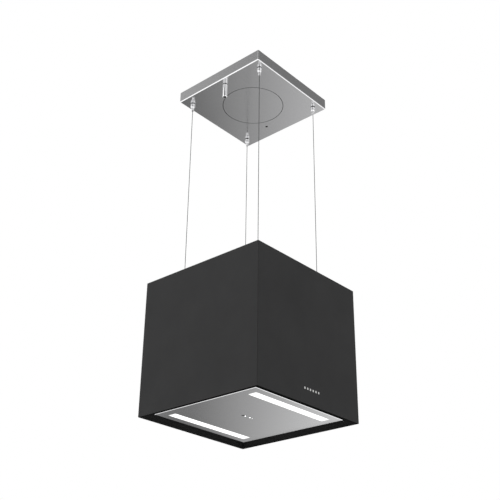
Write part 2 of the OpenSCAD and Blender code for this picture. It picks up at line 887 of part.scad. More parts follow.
module charcoal_filters() {
    left_seat = ring_face;
    right_seat = motor_end + grommet_top;
    color(dark_plastic) at_blower() {
        translate([right_seat, 0, 0]) axis_x() charcoal_filter();
        mirror([1, 0, 0]) translate([left_seat, 0, 0]) axis_x() charcoal_filter();
    }
}

module capacitor() {
    crimp = 3;
    crimp_h = 4;
    color(white_plastic) in_hood() translate([capacitor_x, capacitor_y, top_under - capacitor_h]) {
        cylinder(r = capacitor_r, h = capacitor_h, $fn = coarse);
        translate([0, 0, -crimp_h]) cylinder(r = capacitor_r - crimp, h = crimp_h, $fn = coarse);
    }
}

// ---- Electronics ----

module electronics_box() {
    wall = 2;
    color(white_plastic) in_hood() translate([0, box_y, top_under - box_h]) difference() {
        linear_extrude(box_h) rounded_rect([box_l, box_w], 4);
        block([box_l - 2 * wall, box_w - 2 * wall, box_h], [0, 0, -wall]);
        for (s = [-1, 1]) translate([s * box_l / 2, 0, box_h / 2]) axis_x()
            cylinder(r = 6, h = 4 * wall, center = true, $fn = coarse);
    }
}

module electronics_lid() {
    color(white_plastic) in_hood() translate([0, box_y, top_under - box_h]) {
        translate([0, 0, -2]) linear_extrude(2) rounded_rect([box_l, box_w], 4);
        difference() {
            block([box_l - 5, box_w - 5, 3]);
            block([box_l - 9, box_w - 9, 3 + 2 * over], [0, 0, -over]);
        }
    }
}

module control_board() {
    board_t = 1.6;
    board_z = top_under - 10;
    under = board_z - board_t;
    transformer = [34, 28, 22];
    relay = [12, 24, 14];
    relay_pitch = 16;
    terminal_row = [60, 10, 10];
    can_r = 6;
    can_h = 18;
    color(board_green) in_hood() translate([0, box_y, 0]) {
        for (i = [-1, 1], j = [-1, 1])
            translate([i * (box_l / 2 - 14), j * (box_w / 2 - 14), board_z]) cylinder(r = 3, h = 8, $fn = coarse);
        block([box_l - 14, box_w - 14, board_t], [0, 0, under]);
        block(transformer, [-38, 8, under - transformer[2]]);
        for (i = [0:2]) block(relay, [2 + i * relay_pitch, 14, under - relay[2]]);
        block(terminal_row, [20, -26, under - terminal_row[2]]);
        for (i = [0, 1]) translate([-50 + i * 3 * can_r, -24, under - can_h])
            cylinder(r = can_r, h = can_h, $fn = coarse);
    }
}

// ---- Filters ----

// Both filter bays: side is -1 for the left one and 1 for the right one.
module filter_plate() {
    low = plate_z;
    front = -filter_l / 2 - tongue_out - loose_gap - 4;
    color(steel) in_hood() {
        difference() {
            block([plate_w, plate_w, plate_t], [0, 0, low]);
            for (side = [-1, 1])
                block(
                    [filter_w - 2 * filter_bar, filter_l - 2 * filter_bar, plate_t + 2 * over],
                    [side * filter_x, 0, low - over]
                );
        }
        for (side = [-1, 1]) translate([side * filter_x, 0, 0]) {
            rear_rail();
            translate([0, front, 0]) front_rail();
        }
    }
}

// The rear of a filter rests on this lip.
module rear_rail() {
    rear = filter_l / 2 + loose_gap;
    translate([0, rear, 0]) along_x(filter_w - 20) union() {
        translate([0, filter_z - rail_t]) square([rail_t, plate_z - filter_z + rail_t]);
        translate([-rail_lip, filter_z - rail_t]) square([rail_lip + rail_t, rail_t]);
    }
}

// The latch tongue rests on this lip.
module front_rail() {
    along_x(pocket_w) union() {
        translate([-rail_t, tongue_z - rail_t]) square([rail_t, plate_z - tongue_z + rail_t]);
        translate([-rail_t, tongue_z - rail_t]) square([rail_lip + rail_t, rail_t]);
    }
}

// Frame of one grease filter: a folded channel with the open pocket for its latch at the front.
module grease_filter(side) {
    front = -filter_l / 2;
    opening = [filter_w - 2 * filter_bar, filter_l - 2 * filter_bar];
    color(steel) in_hood() translate([side * filter_x, 0, filter_z]) difference() {
        union() {
            difference() {
                linear_extrude(filter_h) rounded_rect([filter_w, filter_l], 4);
                block([opening[0], opening[1], filter_h + 2 * over], [0, 0, -over]);
                block([filter_w - 2 * channel_t, filter_l - 2 * channel_t, filter_h - 2 * channel_t], [0, 0, channel_t]);
            }
            block([pocket_w, pocket_l, filter_h], [0, front + pocket_l / 2, 0]);
        }
        block(
            [tongue_w + 10, pocket_l - 2 * pocket_wall, filter_h - channel_t + over],
            [0, front + pocket_l / 2, -over]
        );
        block([tongue_w + 1, 2 * pocket_wall, tongue_t + 0.6], [0, front + pocket_wall / 2, tongue_rise - 0.3]);
    }
}

module grease_filter_left() {
    grease_filter(-1);
}

module grease_filter_right() {
    grease_filter(1);
}

// One layer of the filter mesh: slanting strands, left out where the latch pocket is.
module mesh_layer(lean) {
    wide = filter_w - 2 * filter_bar + 2 * mesh_hold;
    long = filter_l - 2 * filter_bar + 2 * mesh_hold;
    strand = 1.4;
    step = mesh_pitch * sqrt(2);
    reach = ceil((wide + long) / 2 / step);
    intersection() {
        difference() {
            square([wide, long], center = true);
            translate([0, -filter_l / 2 + pocket_l / 2]) square([pocket_w, pocket_l], center = true);
        }
        union() for (k = [-reach:reach])
            translate([k * step, 0]) rotate(lean) square([strand, 2 * long], center = true);
    }
}

module filter_meshes() {
    layer = filter_h / 2 - channel_t;
    color(bright) in_hood() for (side = [-1, 1]) translate([side * filter_x, 0, filter_z + channel_t]) {
        linear_extrude(layer) mesh_layer(45);
        translate([0, 0, layer]) linear_extrude(layer) mesh_layer(-45);
    }
}

// Spring latch of one filter: a tongue, a plate in the pocket and a tab for the finger.
module filter_latch(side) {
    front = -filter_l / 2;
    back = front + pocket_wall + latch_plate_l;
    color(dark_plastic) in_hood() translate([side * filter_x, 0, 0]) {
        block([tongue_w, back - front + tongue_out, tongue_t], [0, (back + front - tongue_out) / 2, tongue_z]);
        block([tongue_w, tongue_t, tongue_z - filter_z + tab_out], [0, back - tongue_t / 2, filter_z - tab_out]);
    }
}

module filter_latch_left() {
    filter_latch(-1);
}

module filter_latch_right() {
    filter_latch(1);
}

// The spring of each latch lies between its plate and the rear wall of the pocket.
module latch_springs() {
    room = pocket_l - 2 * pocket_wall - latch_plate_l;
    front = -filter_l / 2 + pocket_wall + latch_plate_l;
    color(bright) in_hood() for (side = [-1, 1], s = [-1, 1])
        translate([side * filter_x + s * tongue_w / 4, front + room, tongue_z + tongue_t / 2])
            rotate([90, 0, 0]) coil_spring(1.6, 0.3, 4, room);
}

// ---- Bottom panel ----

// Brackets under the filter plate: two carry the hinge pins, two the magnets.
module panel_brackets() {
    foot_t = 1.5;
    foot = 20;
    hook = catch_z + magnet_h;
    color(zinc) in_hood() for (s = [-1, 1]) translate([s * hinge_x, 0, 0]) {
        translate([0, hinge_y, 0]) difference() {
            union() {
                block([foot, foot, foot_t], [0, 0, plate_z - foot_t]);
                block([bracket_web_t, 2 * hinge_web_half, plate_z - hinge_z], [0, 0, hinge_z]);
                translate([-bracket_web_t / 2, 0, hinge_z]) axis_x()
                    cylinder(r = hinge_web_half, h = bracket_web_t, $fn = coarse);
            }
            translate([-bracket_web_t, 0, hinge_z]) axis_x()
                cylinder(r = pin_r + running_gap / 2, h = 2 * bracket_web_t, $fn = coarse);
        }
        translate([0, catch_y, 0]) {
            block([foot, foot, foot_t], [0, 0, plate_z - foot_t]);
            block([foot, foot, foot_t], [0, 0, hook]);
            block([foot, foot_t, plate_z - hook], [0, foot / 2 - foot_t / 2, hook]);
        }
    }
}

module hinge_pins() {
    half = bracket_web_t / 2 + ear_gap + ear_t + 1.5;
    color(bright) in_hood() for (s = [-1, 1]) translate([s * hinge_x - half, hinge_y, hinge_z]) axis_x() {
        cylinder(r = pin_r, h = 2 * half, $fn = coarse);
        for (z = [-1, 2 * half]) translate([0, 0, z]) cylinder(r = pin_r + 1.5, h = 1, $fn = coarse);
    }
}

module catch_magnets() {
    color(dark_plastic) in_hood() for (s = [-1, 1])
        translate([s * hinge_x, catch_y, catch_z]) cylinder(r = magnet_r, h = magnet_h, $fn = coarse);
}

module catch_keepers() {
    color(zinc) in_hood() for (s = [-1, 1])
        translate([s * hinge_x, catch_y, panel_recess + panel_t]) cylinder(r = keeper_r, h = keeper_h, $fn = coarse);
}

// Steel sheet with its rim folded up, light windows, hinge ears and the small indicator holes.
module bottom_panel() {
    low = panel_recess;
    color(steel) in_hood() {
        difference() {
            translate([0, 0, low]) folded_tray(panel_w, panel_rim, panel_t, panel_edge_r);
            for (s = [-1, 1]) block([light_len, light_w, panel_t + 2 * over], [0, s * light_y, low - over]);
            translate([receiver_x, indicator_y, low]) drill(receiver_r + window_gap, panel_t);
            for (x = status_x) translate([x, indicator_y, low]) drill(status_r + window_gap, panel_t);
        }
        for (s = [-1, 1], side = [-1, 1])
            translate([s * hinge_x + side * (bracket_web_t / 2 + ear_gap + ear_t / 2), hinge_y, 0]) hinge_ear();
    }
}

module hinge_ear() {
    low = panel_recess + panel_t;
    difference() {
        union() {
            block([ear_t, 2 * ear_half, hinge_z - low], [0, 0, low]);
            translate([-ear_t / 2, 0, hinge_z]) axis_x() cylinder(r = ear_half, h = ear_t, $fn = coarse);
        }
        translate([-ear_t, 0, hinge_z]) axis_x()
            cylinder(r = pin_r + running_gap, h = 2 * ear_t, $fn = coarse);
    }
}

module light_housings() {
    color(zinc) in_hood() for (s = [-1, 1]) translate([0, s * light_y, panel_recess + panel_t]) difference() {
        block([light_outer_l, light_outer_w, light_h]);
        block(
            [light_outer_l - 2 * light_wall, light_outer_w - 2 * light_wall, light_h - light_wall + over],
            [0, 0, -over]
        );
        for (i = [-1, 1]) translate([i * light_len / 3, 0, light_h - light_wall]) drill(3, light_wall);
    }
}

module light_boards() {
    board_t = 1.6;
    chips = floor((light_len - chip_pitch / 2) / chip_pitch);
    color(white_plastic) in_hood() for (s = [-1, 1])
        translate([0, s * light_y, panel_recess + panel_t + light_h - light_wall - board_t]) {
            block([light_len, light_w - 14, board_t]);
            for (k = [0:chips - 1]) block([3.5, 2.8, 0.8], [(k - (chips - 1) / 2) * chip_pitch, 0, -0.8]);
        }
}

module light_diffusers() {
    color("white") in_hood() for (s = [-1, 1]) translate([0, s * light_y, panel_recess]) {
        block([light_len - 2 * sheet_side_gap, light_w - 2 * sheet_side_gap, panel_t + diffuser_t]);
        block([light_len + 2 * light_flange, light_w + 2 * light_flange, diffuser_t], [0, 0, panel_t]);
    }
}

// Small board in a frame behind the middle of the panel: infrared receiver and status lights.
module indicator_board() {
    board_t = 1.6;
    frame_h = window_rise + board_t + 3;
    color(board_green) in_hood() translate([board_x, indicator_y, panel_recess + panel_t]) difference() {
        block([60, 22, frame_h]);
        block([56, 18, window_rise + over], [0, 0, -over]);
        block([56, 18, frame_h], [0, 0, window_rise + board_t]);
    }
}

module receiver_window() {
    color(dark_plastic) in_hood() translate([receiver_x, indicator_y, panel_recess])
        cylinder(r = receiver_r, h = panel_t + window_rise, $fn = coarse);
}

module indicator_windows() {
    color("white") in_hood() for (x = status_x)
        translate([x, indicator_y, panel_recess]) cylinder(r = status_r, h = panel_t + window_rise, $fn = coarse);
}

// ---- Drawing ----

ceiling_bracket();
canopy();
disc_seat_ring();
disc_magnets();
cover_disc();
canopy_screw();
gripper_bodies();
gripper_nuts();
gripper_springs();
gripper_nose(0);  // gripper_nose_1
gripper_nose(1);  // gripper_nose_2
gripper_nose(2);  // gripper_nose_3
gripper_nose(3);  // gripper_nose_4
cable_gland();
gland_nut();
supply_terminal();
suspension_wires();
front_panel();
rear_panel();
left_panel();
right_panel();
corner_posts();
top_plate();
casing_screws();
outlet_grille();
wire_anchors();
anchor_nuts();
wire_ferrules();
inlet_gland();
scroll_housing();
scroll_side_plate();
inlet_rings();
impeller();
motor_shaft();
motor();
motor_bracket();
motor_grommets();
charcoal_filters();
capacitor();
electronics_box();
electronics_lid();
control_board();
filter_plate();
grease_filter_left();
grease_filter_right();
filter_meshes();
filter_latch_left();
filter_latch_right();
latch_springs();
panel_brackets();
hinge_pins();
catch_magnets();
catch_keepers();
bottom_panel();
light_housings();
light_boards();
light_diffusers();
indicator_board();
receiver_window();
indicator_windows();
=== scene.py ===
import json
import math

import bpy
from mathutils import Matrix, Vector


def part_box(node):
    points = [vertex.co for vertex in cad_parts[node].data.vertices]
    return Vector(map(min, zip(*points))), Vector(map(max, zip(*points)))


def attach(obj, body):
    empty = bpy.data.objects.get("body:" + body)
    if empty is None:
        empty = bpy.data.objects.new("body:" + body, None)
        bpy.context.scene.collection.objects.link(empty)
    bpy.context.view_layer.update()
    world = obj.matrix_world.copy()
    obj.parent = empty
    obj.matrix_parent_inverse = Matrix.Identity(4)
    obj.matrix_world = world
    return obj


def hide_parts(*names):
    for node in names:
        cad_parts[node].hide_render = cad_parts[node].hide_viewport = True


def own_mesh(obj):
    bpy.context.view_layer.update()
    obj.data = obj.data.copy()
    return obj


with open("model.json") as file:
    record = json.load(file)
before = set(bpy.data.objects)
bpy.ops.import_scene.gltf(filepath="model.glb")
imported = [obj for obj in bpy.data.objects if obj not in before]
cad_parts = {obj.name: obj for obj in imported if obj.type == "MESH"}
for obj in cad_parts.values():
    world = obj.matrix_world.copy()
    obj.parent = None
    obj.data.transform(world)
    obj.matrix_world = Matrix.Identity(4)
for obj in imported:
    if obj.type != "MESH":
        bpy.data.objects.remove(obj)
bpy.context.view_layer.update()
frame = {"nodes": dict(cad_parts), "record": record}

MM = 0.001


# ---------------------------------------------------------------- node helpers

def feed(tree, socket, value):
    """Sets a socket to a value, or links it if the value is itself a socket."""
    if isinstance(value, bpy.types.NodeSocket):
        tree.links.new(value, socket)
    else:
        socket.default_value = value


def add(tree, kind, inputs=None, **settings):
    """A shader node with its settings, and its sockets set or linked."""
    node = tree.nodes.new(kind)
    for name, value in settings.items():
        setattr(node, name, value)
    for name, value in (inputs or {}).items():
        feed(tree, node.inputs[name], value)
    return node


def calc(tree, operation, a, b=0.0, clamp=False):
    """One Math node: its two inputs may be numbers or sockets."""
    return add(tree, "ShaderNodeMath", {0: a, 1: b}, operation=operation, use_clamp=clamp).outputs[0]


def spread(tree, value, from_low, from_high, to_low, to_high):
    """A value carried from one range to another."""
    node = add(tree, "ShaderNodeMapRange", {
        "Value": value, "From Min": from_low, "From Max": from_high,
        "To Min": to_low, "To Max": to_high,
    })
    return node.outputs["Result"]


def blend_colours(tree, mask, first, second):
    """First where the mask is 0, second where it is 1."""
    node = add(tree, "ShaderNodeMix", data_type="RGBA")
    for index, value in ((0, mask), (6, first), (7, second)):
        feed(tree, node.inputs[index], value)
    return node.outputs[2]


def new_group(name, inputs, outputs):
    """An empty node group with named sockets, and its entry and exit nodes."""
    group = bpy.data.node_groups.new(name, "ShaderNodeTree")
    for label, kind, default in inputs:
        socket = group.interface.new_socket(label, in_out="INPUT", socket_type=kind)
        if default is not None:
            socket.default_value = default
    for label, kind in outputs:
        group.interface.new_socket(label, in_out="OUTPUT", socket_type=kind)
    return group, group.nodes.new("NodeGroupInput"), group.nodes.new("NodeGroupOutput")


def use(tree, group, **inputs):
    """The group placed in a material, with its own values."""
    node = tree.nodes.new("ShaderNodeGroup")
    node.node_tree = group
    for name, value in inputs.items():
        feed(tree, node.inputs[name], value)
    return node


# ---------------------------------------------------------------- shared effects

def make_brushed_grain():
    """Long fine strokes along one axis, with a slow cloudiness under them."""
    group, entry, leave = new_group(
        "brushed grain",
        [("Vector", "NodeSocketVector", None), ("Strokes", "NodeSocketFloat", 1400.0),
         ("Draw", "NodeSocketFloat", 9.0)],
        [("Grain", "NodeSocketFloat"), ("Bands", "NodeSocketFloat"), ("Clouds", "NodeSocketFloat")],
    )
    size = add(group, "ShaderNodeCombineXYZ", {
        "X": entry.outputs["Draw"], "Y": entry.outputs["Strokes"], "Z": entry.outputs["Strokes"],
    })
    fine = add(group, "ShaderNodeVectorMath", {
        0: entry.outputs["Vector"], 1: size.outputs[0],
    }, operation="MULTIPLY")
    strokes = add(group, "ShaderNodeTexNoise", {
        "Vector": fine.outputs[0], "Scale": 1.0, "Detail": 2.0, "Roughness": 0.6,
    })
    broad = add(group, "ShaderNodeVectorMath", {0: fine.outputs[0], "Scale": 0.14}, operation="SCALE")
    bands = add(group, "ShaderNodeTexNoise", {
        "Vector": broad.outputs[0], "Scale": 1.0, "Detail": 3.0, "Roughness": 0.55,
    })
    clouds = add(group, "ShaderNodeTexNoise", {
        "Vector": entry.outputs["Vector"], "Scale": 7.0, "Detail": 2.0, "Roughness": 0.5,
    })
    group.links.new(strokes.outputs["Fac"], leave.inputs["Grain"])
    group.links.new(bands.outputs["Fac"], leave.inputs["Bands"])
    group.links.new(clouds.outputs["Fac"], leave.inputs["Clouds"])
    return group


def make_edge_wear():
    """A mask of the sharp edges, broken up where hands and cloths rub them less."""
    group, entry, leave = new_group(
        "edge wear",
        [("Vector", "NodeSocketVector", None), ("Width", "NodeSocketFloat", 0.0008),
         ("Breaks", "NodeSocketFloat", 60.0)],
        [("Mask", "NodeSocketFloat")],
    )
    rounded = add(group, "ShaderNodeBevel", {"Radius": entry.outputs["Width"]}, samples=6)
    true = add(group, "ShaderNodeNewGeometry")
    turned = add(group, "ShaderNodeVectorMath", {
        0: rounded.outputs[0], 1: true.outputs["Normal"],
    }, operation="DOT_PRODUCT")
    edge = spread(group, turned.outputs["Value"], 0.995, 0.86, 0.0, 1.0)
    breaks = add(group, "ShaderNodeTexNoise", {
        "Vector": entry.outputs["Vector"], "Scale": entry.outputs["Breaks"], "Detail": 3.0,
    })
    kept = spread(group, breaks.outputs["Fac"], 0.38, 0.62, 0.25, 1.0)
    group.links.new(calc(group, "MULTIPLY", edge, kept, clamp=True), leave.inputs["Mask"])
    return group


def make_settled_dust():
    """A thin mask of dust on faces that look up, thicker in patches."""
    group, entry, leave = new_group(
        "settled dust",
        [("Vector", "NodeSocketVector", None), ("Amount", "NodeSocketFloat", 0.35)],
        [("Mask", "NodeSocketFloat")],
    )
    facing = add(group, "ShaderNodeNewGeometry")
    parts = add(group, "ShaderNodeSeparateXYZ", {0: facing.outputs["Normal"]})
    upward = spread(group, parts.outputs["Z"], 0.35, 0.95, 0.0, 1.0)
    patches = add(group, "ShaderNodeTexNoise", {
        "Vector": entry.outputs["Vector"], "Scale": 22.0, "Detail": 5.0, "Roughness": 0.65,
    })
    patchy = spread(group, patches.outputs["Fac"], 0.3, 0.7, 0.35, 1.0)
    lying = calc(group, "MULTIPLY", upward, patchy)
    group.links.new(
        calc(group, "MULTIPLY", lying, entry.outputs["Amount"], clamp=True), leave.inputs["Mask"])
    return group


def make_fine_texture():
    """The fine even roughness of powder paint and of moulded plastic."""
    group, entry, leave = new_group(
        "fine texture",
        [("Vector", "NodeSocketVector", None), ("Scale", "NodeSocketFloat", 1500.0)],
        [("Height", "NodeSocketFloat"), ("Mottle", "NodeSocketFloat")],
    )
    peel = add(group, "ShaderNodeTexNoise", {
        "Vector": entry.outputs["Vector"], "Scale": entry.outputs["Scale"], "Detail": 2.0, "Roughness": 0.5,
    })
    slow = add(group, "ShaderNodeTexNoise", {
        "Vector": entry.outputs["Vector"], "Scale": 9.0, "Detail": 3.0, "Roughness": 0.55,
    })
    group.links.new(peel.outputs["Fac"], leave.inputs["Height"])
    group.links.new(slow.outputs["Fac"], leave.inputs["Mottle"])
    return group


def make_zinc_spangle():
    """The large crystals of hot dip zinc, each a slightly different grey."""
    group, entry, leave = new_group(
        "zinc spangle",
        [("Vector", "NodeSocketVector", None), ("Scale", "NodeSocketFloat", 170.0)],
        [("Tone", "NodeSocketFloat"), ("Edge", "NodeSocketFloat")],
    )
    wobble = add(group, "ShaderNodeTexNoise", {"Vector": entry.outputs["Vector"], "Scale": 90.0})
    bent = add(group, "ShaderNodeVectorMath", {
        0: wobble.outputs["Color"], 1: (0.004, 0.004, 0.004), 2: entry.outputs["Vector"],
    }, operation="MULTIPLY_ADD")
    crystals = add(group, "ShaderNodeTexVoronoi", {
        "Vector": bent.outputs[0], "Scale": entry.outputs["Scale"],
    })
    tone = add(group, "ShaderNodeSeparateColor", {0: crystals.outputs["Color"]})
    border = add(group, "ShaderNodeTexVoronoi", {
        "Vector": bent.outputs[0], "Scale": entry.outputs["Scale"],
    }, feature="DISTANCE_TO_EDGE")
    group.links.new(tone.outputs[0], leave.inputs["Tone"])
    group.links.new(spread(group, border.outputs["Distance"], 0.0, 0.08, 1.0, 0.0), leave.inputs["Edge"])
    return group


def make_shaded_below():
    """A mask of faces that look straight down, where the paint is darkened as painted shade."""
    group, _, leave = new_group("shaded below", [], [("Mask", "NodeSocketFloat")])
    facing = add(group, "ShaderNodeNewGeometry")
    parts = add(group, "ShaderNodeSeparateXYZ", {0: facing.outputs["Normal"]})
    group.links.new(spread(group, parts.outputs["Z"], -0.7, -0.95, 0.0, 1.0), leave.inputs["Mask"])
    return group


BRUSHED_GRAIN = make_brushed_grain()
SHADED_BELOW = make_shaded_below()
EDGE_WEAR = make_edge_wear()
SETTLED_DUST = make_settled_dust()
FINE_TEXTURE = make_fine_texture()
ZINC_SPANGLE = make_zinc_spangle()


# ---------------------------------------------------------------- materials

# Near-black, for painted shade in gaps and grooves and for dark rings round the screw and the receiver eye.
SHADE_AND_GRIME = (0.003, 0.003, 0.003, 1)
# Near-black, for painted shade on faces that look down.
UNDER_SHADE = (0.002, 0.002, 0.002, 1)
DUST = (0.42, 0.40, 0.37, 1)
CONTACT_SHADE = (0.012, 0.012, 0.012, 1)
PRINT = (0.75, 0.75, 0.74, 1)


def middle(node):
    """The middle of a CAD node in plan, and its half width along X."""
    low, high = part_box(node)
    return ((low[0] + high[0]) / 2, (low[1] + high[1]) / 2), (high[0] - low[0]) / 2


def start_material(name, **shader):
    """A material with its Principled BSDF set, and object coordinates to draw on."""
    material = bpy.data.materials.new(name)
    material.use_nodes = True
    tree = material.node_tree
    tree.nodes.clear()
    surface = tree.nodes.new("ShaderNodeBsdfPrincipled")
    for label, value in shader.items():
        surface.inputs[label.replace("_", " ")].default_value = value
    output = tree.nodes.new("ShaderNodeOutputMaterial")
    tree.links.new(surface.outputs[0], output.inputs["Surface"])
    place = tree.nodes.new("ShaderNodeTexCoord").outputs["Object"]
    return material, tree, surface, place


def raise_surface(tree, surface, height, distance, strength=1.0):
    """A Bump node that feeds the shader's normal."""
    bump = add(tree, "ShaderNodeBump", {"Height": height, "Distance": distance, "Strength": strength})
    tree.links.new(bump.outputs[0], surface.inputs["Normal"])


def mottled(tree, mask, colour, share):
    """The colour, dimmed to a share of itself where the mask is low."""
    dim = [share * c for c in colour]
    return blend_colours(tree, spread(tree, mask, 0.3, 0.7, 0.0, 1.0), (*dim, 1), (*colour, 1))


def brushed_steel(name, colour, roughness, strokes=1400.0, relief=0.000012, rings=(), folds=None,
                  rim=0.0):
    """Brushed metal sheet with fine strokes along X and slow clouding.

    folds gives the sheet's reach from the middle, its lowest height and the radius of the fold
    between them, whose colour is raised to nearly white as a painted highlight. rim is the width of
    a near-black band of painted shade at that reach, and needs folds. Each ring is a centre with an inner
    and an outer radius, dark between them.
    """
    material, tree, surface, place = start_material(name, Metallic=1.0)
    grain = use(tree, BRUSHED_GRAIN, Vector=place, Strokes=strokes)
    wear = use(tree, EDGE_WEAR, Vector=place, Width=0.0009)
    body = mottled(tree, grain.outputs["Bands"], colour, 0.975)
    bright = [min(1.0, 1.25 * c) for c in colour]
    body = blend_colours(tree, calc(tree, "MULTIPLY", wear.outputs["Mask"], 0.6), body, (*bright, 1))
    x, y, z = add(tree, "ShaderNodeSeparateXYZ", {0: place}).outputs
    out = calc(tree, "MAXIMUM", calc(tree, "ABSOLUTE", x), calc(tree, "ABSOLUTE", y))
    if folds:
        reach, low, radius = folds
        outward = spread(tree, out, reach - radius, reach - 0.7 * radius, 0.0, 1.0)
        downward = spread(tree, z, low + 0.7 * radius, low + radius, 1.0, 0.0)
        fold_glint = calc(tree, "MULTIPLY", outward, downward)
        # Painted highlight: the fold's colour is raised to nearly white, standing for the glint along the
        # rounded edge.
        polished = [1.95 * c for c in colour]
        body = blend_colours(tree, fold_glint, body, (*polished, 1))
    for centre, inner, outer in rings:
        flat = add(tree, "ShaderNodeCombineXYZ", {0: x, 1: y})
        away = add(tree, "ShaderNodeVectorMath", {
            0: flat.outputs[0], 1: (*centre, 0),
        }, operation="DISTANCE")
        off = calc(tree, "ABSOLUTE", calc(tree, "SUBTRACT", away.outputs["Value"], (inner + outer) / 2))
        half = (outer - inner) / 2
        body = blend_colours(tree, spread(tree, off, 0.9 * half, half, 1.0, 0.0), body, SHADE_AND_GRIME)
    # Painted shade: a near-black band at the reach, for the shadowed gap beyond the sheet's edge.
    if rim:
        edge = spread(tree, out, reach - rim - 0.3 * MM, reach - rim, 0.0, 1.0)
        body = blend_colours(tree, edge, body, SHADE_AND_GRIME)
    tree.links.new(body, surface.inputs["Base Color"])
    rough = spread(tree, grain.outputs["Grain"], 0.2, 0.8, 0.85 * roughness, 1.15 * roughness)
    clouded = spread(tree, grain.outputs["Clouds"], 0.3, 0.7, -0.1 * roughness, 0.1 * roughness)
    tree.links.new(calc(tree, "ADD", rough, clouded, clamp=True), surface.inputs["Roughness"])
    raise_surface(tree, surface, grain.outputs["Grain"], relief)
    return material


def galvanised_sheet(name, colour, dusty):
    """Hot dip zinc on sheet steel, with dust on top."""
    material, tree, surface, place = start_material(name, Metallic=1.0)
    zinc = use(tree, ZINC_SPANGLE, Vector=place)
    dust = use(tree, SETTLED_DUST, Vector=place, Amount=dusty)
    dim = [0.82 * c for c in colour]
    body = blend_colours(tree, zinc.outputs["Tone"], (*dim, 1), (*colour, 1))
    body = blend_colours(tree, dust.outputs["Mask"], body, DUST)
    tree.links.new(body, surface.inputs["Base Color"])
    rough = spread(tree, zinc.outputs["Tone"], 0.0, 1.0, 0.34, 0.46)
    rough = calc(tree, "ADD", rough, dust.outputs["Mask"], clamp=True)
    tree.links.new(rough, surface.inputs["Roughness"])
    bare = calc(tree, "SUBTRACT", 1.0, dust.outputs["Mask"], clamp=True)
    tree.links.new(bare, surface.inputs["Metallic"])
    raise_surface(tree, surface, zinc.outputs["Edge"], 0.00003, 0.4)
    return material


def printed_bars(tree, place, first, pitch, count, size, height, front):
    """A mask of small upright bars in a row along X, on the face at Y = front."""
    x, y, z = add(tree, "ShaderNodeSeparateXYZ", {0: place}).outputs
    start = first - pitch / 2
    step = calc(tree, "DIVIDE", calc(tree, "SUBTRACT", x, start), pitch)
    off = calc(tree, "ABSOLUTE", calc(tree, "SUBTRACT", calc(tree, "FRACT", step), 0.5))
    mask = calc(tree, "LESS_THAN", off, size[0] / pitch / 2)
    rise = calc(tree, "ABSOLUTE", calc(tree, "SUBTRACT", z, height))
    for test in (
        calc(tree, "GREATER_THAN", step, 0.0),
        calc(tree, "LESS_THAN", step, float(count)),
        calc(tree, "LESS_THAN", rise, size[1] / 2),
        calc(tree, "LESS_THAN", y, front + 0.1 * MM),
    ):
        mask = calc(tree, "MULTIPLY", mask, test)
    return mask


def coated(name, colour, roughness, texture=1500.0, relief=0.00002, worn=None, dusty=0.0,
           under=False, bars=None, **shader):
    """Powder paint or moulded plastic: fine texture, mottling, rubbed edges, dust on top, painted shade
    below.
    """
    material, tree, surface, place = start_material(name, **shader)
    skin = use(tree, FINE_TEXTURE, Vector=place, Scale=texture)
    body = mottled(tree, skin.outputs["Mottle"], colour, 0.88)
    if worn:
        wear = use(tree, EDGE_WEAR, Vector=place)
        body = blend_colours(tree, calc(tree, "MULTIPLY", wear.outputs["Mask"], 0.5), body, (*worn, 1))
    rough = spread(tree, skin.outputs["Mottle"], 0.25, 0.75, roughness - 0.05, roughness + 0.05)
    if dusty:
        dust = use(tree, SETTLED_DUST, Vector=place, Amount=dusty)
        body = blend_colours(tree, dust.outputs["Mask"], body, DUST)
        rough = calc(tree, "ADD", rough, dust.outputs["Mask"], clamp=True)
    # Painted shade: faces that look down turn near-black and fully rough, standing for the shade under lips
    # and edges.
    if under:
        below = use(tree, SHADED_BELOW)
        body = blend_colours(tree, below.outputs["Mask"], body, UNDER_SHADE)
        rough = calc(tree, "MAXIMUM", rough, below.outputs["Mask"])
    if bars:
        body = blend_colours(tree, printed_bars(tree, place, **bars), body, PRINT)
    tree.links.new(body, surface.inputs["Base Color"])
    tree.links.new(rough, surface.inputs["Roughness"])
    raise_surface(tree, surface, skin.outputs["Height"], relief)
    return material


def bright_metal(name, colour, roughness, contact_shade=None):
    """Polished or drawn metal, with a little haze, and a dark ring of painted shade between two heights."""
    material, tree, surface, place = start_material(name, Metallic=1.0)
    haze = use(tree, FINE_TEXTURE, Vector=place, Scale=2600.0)
    body = mottled(tree, haze.outputs["Mottle"], colour, 0.93)
    rough = spread(tree, haze.outputs["Mottle"], 0.25, 0.75, 0.75 * roughness, 1.35 * roughness)
    # Painted shade: a near-black, non-metallic ring between the two heights, standing for the shade where
    # the part meets the canopy.
    if contact_shade:
        height = add(tree, "ShaderNodeSeparateXYZ", {0: place}).outputs["Z"]
        above = calc(tree, "GREATER_THAN", height, contact_shade[0])
        ring = calc(tree, "MULTIPLY", above, calc(tree, "LESS_THAN", height, contact_shade[1]))
        body = blend_colours(tree, ring, body, CONTACT_SHADE)
        rough = calc(tree, "MAXIMUM", rough, calc(tree, "MULTIPLY", ring, 0.6))
        tree.links.new(calc(tree, "SUBTRACT", 1.0, ring), surface.inputs["Metallic"])
    tree.links.new(body, surface.inputs["Base Color"])
    tree.links.new(rough, surface.inputs["Roughness"])
    raise_surface(tree, surface, haze.outputs["Height"], 0.000004)
    return material


